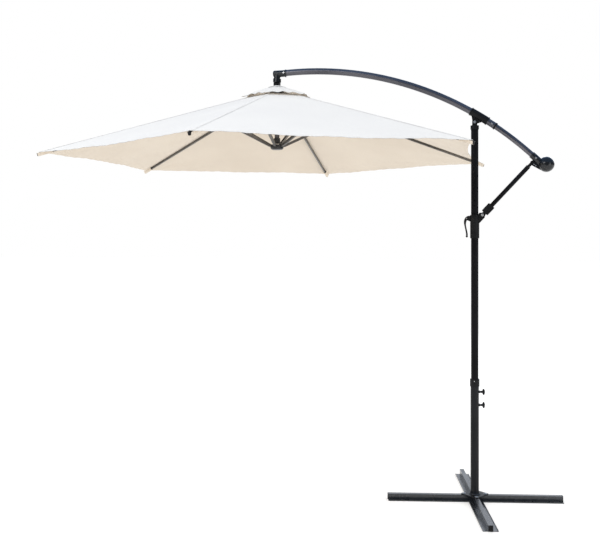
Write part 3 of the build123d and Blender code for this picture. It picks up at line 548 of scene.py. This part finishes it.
def surface_normals(mid, panel, surface, rho, tau, step=0.0012):
    down = (surface(panel, rho + step, tau) - surface(panel, rho - step, tau)) / (2 * step)
    side = (surface(panel, rho, tau + step) - surface(panel, rho, tau - step)) / (2 * step)
    nx = -down * math.cos(mid) + side * math.sin(mid)
    ny = -down * math.sin(mid) - side * math.cos(mid)
    normals = np.stack([nx, ny, np.ones_like(nx)], -1)
    return normals / np.linalg.norm(normals, axis=-1, keepdims=True)


def outside_area(points):
    """The area of a grid of points."""
    across, along = np.diff(points, axis=1)[:-1], np.diff(points, axis=0)[:, :-1]
    return float(np.linalg.norm(np.cross(across, along), axis=-1).sum())


def half_panel(name, rib, side, surface, curve, rows, start):
    """The cloth from a rib to the middle of the panel beside it, as one thin shell."""
    mid = rib_angle(rib) + side * HALF_PANEL
    panel = round(math.degrees(mid) / 60) % 6
    columns = np.linspace(1, 0, 37)
    slant = -side * columns * TAN_HALF
    reach = hem_reach(curve, slant)
    rho = np.stack([start(slant) + share * (reach - start(slant)) for share in rows[0]]
                   + [reach - inset for inset in rows[1]])
    tau = rho * slant
    height = surface(panel, rho, tau)
    top = surface_points(mid, rho, tau, height)
    edge = np.minimum(hem_distance(curve, rho, tau), rho - start(slant) + 0.004)
    extra = 0.0007 * (1 - smooth_step(hem_distance(curve, rho, tau), HEM_BAND - 0.001, HEM_BAND + 0.0012))
    low = surface_points(mid, rho, tau, height - CLOTH - extra)
    weave = np.stack([tau, rho / math.cos(RIB_SLOPE), np.zeros_like(rho)], -1)
    normals = surface_normals(mid, panel, surface, rho, tau)
    facts = {"edge": edge, "along": tau, "weave": weave}
    made = thin_shell(name, top, low, [CLOTH_TOP, CLOTH_UNDER_SHADED], facts, normals)
    return made, outside_area(top)


def rib_frame(rib):
    """Directions along a rib outwards, sideways and up from it, and its pivot."""
    phi = rib_angle(rib)
    level, drop = math.cos(RIB_SLOPE), math.sin(RIB_SLOPE)
    out = Vector((math.cos(phi) * level, math.sin(phi) * level, -drop))
    side = Vector((-math.sin(phi), math.cos(phi), 0))
    pivot = Vector((HUB_X + RIB_PIVOT_R * math.cos(phi), RIB_PIVOT_R * math.sin(phi), RIB_PIVOT_Z))
    return out, side, out.cross(side), pivot


def fold_with_rib(obj, rib):
    """The half panel rides on its rib, with a mesh of its own."""
    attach(obj, f"rib_{rib + 1}")
    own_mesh(obj)


SEAM_HALF = 0.009
SEAM_CROWN = 0.0011
# How fast the cloth falls away on each side of a rib
RIDGE_DIP = 0.172


def seam_strip(name, rib, r_start, r_end, rise):
    """The folded seam over a rib: a narrow raised band with two rows of stitches."""
    out, side, up, pivot = rib_frame(rib)
    lift = CLOTH_LIFT * math.cos(RIB_SLOPE) + rise
    s = np.linspace((r_start - RIB_PIVOT_R), (r_end - RIB_PIVOT_R), 90) / math.cos(RIB_SLOPE)
    y = np.array([-1, -0.97, -0.8, -0.45, -0.12, 0.12, 0.45, 0.8, 0.97, 1.0]) * SEAM_HALF
    crown = np.array([0.1, 0.9, 1, 1, 1, 1, 1, 1, 0.9, 0.1]) * SEAM_CROWN
    grid_s, grid_y = np.meshgrid(s, y, indexing="ij")
    pucker = 0.00022 * np.sin(2 * math.pi * grid_s / 0.031) * np.abs(grid_y) / SEAM_HALF
    base = lift - RIDGE_DIP * np.sqrt(grid_y ** 2 + 0.0012 ** 2)
    frame_axes = np.array([out, side, up])

    def place(z):
        local = np.stack([grid_s, grid_y, z], -1)
        return local @ frame_axes + np.array(pivot)

    facts = {"edge": SEAM_HALF - np.abs(grid_y), "along": grid_s,
             "weave": np.stack([grid_y, grid_s, np.zeros_like(grid_s)], -1)}
    top, low = place(base + crown + pucker), place(base + 0.00008)
    made = thin_shell(name, top, low, [CLOTH_TOP, CLOTH_TOP], facts)
    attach(made, f"rib_{rib + 1}")
    return made


# The pocket's cross-section under the cloth, sideways and upwards from the rib's middle, in millimetres
POCKET_PROFILE = (
    (-15, 7.5), (-11, 6.0), (-8.6, 0), (-8.0, -6), (-6.2, -9.8), (0, -10.6),
    (6.2, -9.8), (8.0, -6), (8.6, 0), (11, 6.0), (15, 7.5),
)
# Places along the rib from its end, each with how wide the pocket is there
POCKET_STATIONS = (
    (-0.078, 1.0), (-0.074, 1.0), (-0.055, 0.98), (-0.03, 1.0),
    (-0.008, 1.04), (-0.001, 1.02), (0.003, 0.98), (0.0068, 0.94),
)


def tip_pocket(name, rib):
    """The sewn pocket under the cloth that the rib's end goes into."""
    out, side, up, pivot = rib_frame(rib)
    first, last = POCKET_STATIONS[0][0], POCKET_STATIONS[-1][0]
    points, edge, along = [], [], []
    for inset, swell in POCKET_STATIONS:
        for y, z in POCKET_PROFILE:
            at = pivot + out * (RIB_LENGTH + inset) + side * (y * 0.001 * swell) + up * (z * 0.001)
            points.append(at)
            edge.append(STITCH_LINES[0] + min(inset - first, last - inset))
            along.append(y * 0.001)
    faces = grid_faces(len(POCKET_STATIONS), len(POCKET_PROFILE))[:, ::-1]
    made = add_mesh(name, points, faces, [CLOTH_UNDER_SHADED])
    store(made.data, "edge", edge)
    store(made.data, "along", along)
    weave = np.array([(a, e, 0.0) for a, e in zip(along, edge)])
    store(made.data, "weave", weave, "FLOAT_VECTOR")
    thicken = made.modifiers.new("thickness", "SOLIDIFY")
    thicken.thickness = 0.0009
    thicken.offset = 1.0
    round_off = made.modifiers.new("round", "SUBSURF")
    round_off.levels = round_off.render_levels = 1
    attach(made, f"rib_{rib + 1}")
    return made


CANOPY_ROWS = (np.linspace(0, 0.975, 62), (0.0245, 0.0232, 0.0222, 0.0212, 0.015, 0.006, 0.0012, 0.0))
CAP_ROWS = (np.linspace(0, 0.93, 26), (0.0115, 0.0100, 0.0090, 0.004, 0.0008, 0.0))
CAP_START_R = 0.0235


def build_canopy():
    for rib in range(6):
        strip = seam_strip(f"rib_seam_{rib + 1}", rib, VENT_HOLE_R, RIB_REACH - 0.004, 0.0007)
        pocket = tip_pocket(f"tip_pocket_{rib + 1}", rib)
        for side in (-1, 1):
            word = "left" if side < 0 else "right"
            panel, area = half_panel(
                f"panel_{rib + 1}_{word}", rib, side, canopy_top, CANOPY_HEM, CANOPY_ROWS,
                lambda slant: np.full_like(slant, VENT_HOLE_R * COS_HALF),
            )
            fold_with_rib(panel, rib)
            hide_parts("canopy")
            cap, cap_area = half_panel(
                f"vent_{rib + 1}_{word}", rib, side, cap_top, CAP_HEM, CAP_ROWS,
                lambda slant: CAP_START_R / np.sqrt(1 + slant ** 2),
            )
            fold_with_rib(cap, rib)
            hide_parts("vent_cap")


COLLAR_MOUTH_R, COLLAR_R = 0.0228, 0.056
COLLAR_THICK = 0.0012


def build_collar():
    """The round patch that closes the vent cap round the pole's socket, in small radial pleats."""
    rings, sides = 9, 72
    radius = np.linspace(COLLAR_MOUTH_R, COLLAR_R, rings)[:, None]
    angle = np.linspace(0, 2 * math.pi, sides, endpoint=False)[None]
    pleats = 0.0006 * np.sin(18 * angle) * (radius / COLLAR_R)
    slope = RIB_PIVOT_Z + CLOTH_LIFT - (radius - RIB_PIVOT_R) * math.tan(RIB_SLOPE) * 1.02
    height = slope + CAP_LIFT + 0.0022 + pleats
    top = np.stack([HUB_X + radius * np.cos(angle), radius * np.sin(angle), height], -1)
    low = top - np.array([0, 0, COLLAR_THICK])
    count = rings * sides
    faces = grid_faces(rings, sides, closed=True)
    inner, outer = np.arange(sides), np.arange(count - sides, count)
    rims = []
    for ring, flip in ((inner, False), (outer, True)):
        after = np.roll(ring, -1)
        rim = np.stack([ring, after, after + count, ring + count], -1)
        rims.append(rim[:, ::-1] if flip else rim)
    faces = np.concatenate([faces, faces[:, ::-1] + count, *rims])
    points = np.concatenate([top.reshape(-1, 3), low.reshape(-1, 3)])
    made = add_mesh("vent_collar", points, faces, [CLOTH_TOP])
    edge = np.broadcast_to(COLLAR_R - radius, (rings, sides)).ravel()
    along = np.broadcast_to(0.05 * angle, (rings, sides)).ravel()
    store(made.data, "edge", np.tile(edge, 2))
    store(made.data, "along", np.tile(along, 2))
    store(made.data, "weave", points - np.array([HUB_X, 0, 0]), "FLOAT_VECTOR")
    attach(made, "hanger")


def build_cord():
    """The cord's drop from the knuckle to the runner, in many close rings."""
    low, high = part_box("cord_drop")
    rings, sides, radius = 170, 12, 0.0018
    profile = [(radius, high.z - 0.0005 - k * (high.z - low.z - 0.001) / (rings - 1)) for k in range(rings)]
    points, faces = lathe(profile, (HUB_X, 0, 0), (0, 0, 1), sides)
    points, faces = capped(points, [f[::-1] for f in faces], rings, sides)
    faces[-2:] = [f[::-1] for f in faces[-2:]]
    cord = add_mesh("cord_fall", points, faces, [CORD])
    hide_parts("cord_drop")
    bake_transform(cord)


# ---------------------------------------------------------------- small hardware

def build_rivets():
    """Domed rivet heads where each stretcher meets its rib."""
    rivet_z = RIB_PIVOT_Z - (RIVET_R - RIB_PIVOT_R) * math.tan(RIB_SLOPE)
    for rib in range(6):
        phi = rib_angle(rib)
        centre = Vector((HUB_X + RIVET_R * math.cos(phi), RIVET_R * math.sin(phi), rivet_z))
        tangent = Vector((-math.sin(phi), math.cos(phi), 0))
        reach = STRETCHER_W / 2 + 0.00195
        heads = [dome(centre + tangent * sign * reach, tangent * sign, 0.0044, 0.0019) for sign in (-1, 1)]
        made = add_mesh(f"rivet_heads_{rib + 1}", *join_parts(heads), [PLATED])
        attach(made, f"stretcher_{rib + 1}")


WASHER_PROFILE = (
    (0.0081, 0.0), (0.0112, 0.0), (0.0115, 0.0004), (0.0112, 0.0013),
    (0.0105, 0.0016), (0.0083, 0.0016), (0.0081, 0.0),
)


def bead(radius, height, half_width, half_height):
    """The closed profile of a ring with an oval section."""
    turns = np.linspace(0, 2 * math.pi, 11)
    return [(radius + half_width * math.cos(a), height + half_height * math.sin(a)) for a in turns]


def build_washers():
    """Pressed washers round the four plate bolts, and the rippled weld at the mast's foot."""
    parts = []
    for k in range(4):
        angle = BASE_YAW + k * math.pi / 2
        place = (BOLT_CIRCLE_R * math.cos(angle), BOLT_CIRCLE_R * math.sin(angle), PLATE_TOP + 0.00005)
        parts.append(lathe(WASHER_PROFILE, place, (0, 0, 1), 32))
    washers = add_mesh("plate_washers", *join_parts(parts), [PLATED])
    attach(washers, "base")
    section = bead(0.0285, 0.0018, 0.0032, 0.0026)
    weld = add_mesh("foot_weld", *lathe(section, (0, 0, PLATE_TOP), (0, 0, 1), 160, 0.012, 44), [STEEL_BASE])
    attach(weld, "base")


RIDGE_COUNT = 12
RIDGE_PROFILE = (
    (0.0001, 0.0), (0.0007, 0.0008), (0.0009, 0.003), (0.0009, 0.0245), (0.0007, 0.0267), (0.0001, 0.0275),
)


def build_knob_grip():
    """Rounded ridges down the crank's knob."""
    low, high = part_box("crank_knob")
    centre, radius = (low + high) / 2, (high.x - low.x) / 2
    parts = []
    for k in range(RIDGE_COUNT):
        angle = 2 * math.pi * k / RIDGE_COUNT
        place = (centre.x + radius * math.cos(angle), centre.y + radius * math.sin(angle), low.z + 0.0035)
        parts.append(capped(*lathe(RIDGE_PROFILE, place, (0, 0, 1), 10), len(RIDGE_PROFILE), 10))
    grip = add_mesh("knob_ridges", *join_parts(parts), [PLASTIC])
    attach(grip, "knob")


BALL_RING_R = 0.024


def build_housing_ring():
    """The raised ring moulded round the near face of the crank housing's ball."""
    radius = -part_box("crank_housing_near")[0].y
    centre = JOINTS["crank_spin"]["pos_m"]
    rise = math.sqrt(radius ** 2 - BALL_RING_R ** 2)
    section = bead(BALL_RING_R, rise, 0.0016, 0.0013)
    ring = add_mesh("housing_ring", *lathe(section, (centre[0], 0, centre[2]), (0, -1, 0), 64), [GLOSSY])
    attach(ring, "arm")


# ---------------------------------------------------------------- stage

FLOOR_HALF = 40.0
FLOOR_DROP = 0.0004
FLOOR_GLOW = 0.14

# Each light's place, the point it faces, its two sides, its power and its colour
LIGHTS = {
    "key_softbox": ((-3.2, -4.6, 4.4), (-0.9, 0, 2.2), (3.0, 2.2), 60, (1, 1, 1)),
    "right_strip": ((3.4, -2.3, 2.0), (0.2, 0, 1.2), (0.9, 2.6), 16, (0.88, 0.95, 1.0)),
    "low_panel": ((-1.2, 7.0, 2.5), (0, 0, 0.1), (6.0, 3.0), 45, (1, 1, 1)),
    "back_softbox": ((1.5, 5.0, 3.6), (-0.6, 0, 1.8), (3.0, 2.0), 40, (1, 1, 1)),
}


def area_light(name, place, target, size, power, colour):
    """A rectangular light that is not seen itself."""
    lamp = bpy.data.lights.new(name, "AREA")
    lamp.shape = "RECTANGLE"
    lamp.size, lamp.size_y = size
    lamp.energy = power
    lamp.color = colour
    obj = bpy.data.objects.new(name, lamp)
    obj.location = place
    obj.rotation_euler = (Vector(target) - Vector(place)).to_track_quat("-Z", "Y").to_euler()
    obj.visible_camera = False
    bpy.context.scene.collection.objects.link(obj)


def build_floor():
    """A wide white floor that is clear when seen from below."""
    mat, tree, shader = finish_of("studio_floor", Roughness=0.95, Specular_IOR_Level=0.0)
    tone = mixed(tree, noise(tree, 0.6, 2), (0.95, 0.95, 0.95, 1), (0.97, 0.97, 0.97, 1))
    paint(tree, shader, "Base Color", tone)
    shader.inputs["Emission Color"].default_value = WHITE
    shader.inputs["Emission Strength"].default_value = FLOOR_GLOW
    from_below = node(tree, "NewGeometry").outputs["Backfacing"]
    clear = node(tree, "BsdfTransparent").outputs[0]
    ground = node(tree, "MixShader", {0: from_below, 1: shader.outputs[0], 2: clear})
    tree.links.new(ground.outputs[0], tree.nodes["Material Output"].inputs["Surface"])
    corners = [(x * FLOOR_HALF, y * FLOOR_HALF, -FLOOR_DROP) for x, y in ((-1, -1), (1, -1), (1, 1), (-1, 1))]
    add_mesh("floor", corners, [(0, 1, 2, 3)], [mat])


def build_world():
    """White to the camera, soft white as light, and a bluish sky for reflections."""
    world = bpy.data.worlds.new("studio")
    bpy.context.scene.world = world
    world.use_nodes = True
    tree = world.node_tree
    path = node(tree, "LightPath")
    way = node(tree, "TexCoord").outputs["Generated"]
    rise = node(tree, "SeparateXYZ", {0: way}).outputs[2]
    sky = mixed(tree, remap(tree, rise, 0.05, 0.75), (0.11, 0.12, 0.15, 1), (0.20, 0.36, 0.62, 1))
    seen = mixed(tree, path.outputs["Is Glossy Ray"], (0.93, 0.94, 0.95, 1), sky)
    seen = mixed(tree, path.outputs["Is Camera Ray"], seen, WHITE)
    tree.links.new(seen, tree.nodes["Background"].inputs["Color"])


def build_stage():
    build_floor()
    build_world()
    for name, settings in LIGHTS.items():
        area_light(name, *settings)
    bpy.context.scene.view_settings.view_transform = "Standard"


CAMERA_AT = (0.2051, -4.7989, 1.55)
CAMERA_TURN = math.radians(14.62)
LENS_MM = 48.593
FRAME_SHIFT = -0.0682


def build_camera():
    """A level camera a little below the canopy, looking past the mast towards the canopy."""
    data = bpy.data.cameras.new("camera")
    data.sensor_width = 36
    data.lens = LENS_MM
    data.shift_y = FRAME_SHIFT
    data.clip_end = 200
    obj = bpy.data.objects.new("camera", data)
    obj.location = CAMERA_AT
    obj.rotation_euler = (math.pi / 2, 0, CAMERA_TURN)
    bpy.context.scene.collection.objects.link(obj)
    bpy.context.scene.camera = obj


build_camera()
paint_cad()
build_canopy()
build_collar()
build_cord()
build_rivets()
build_washers()
build_knob_grip()
build_housing_ring()
build_stage()
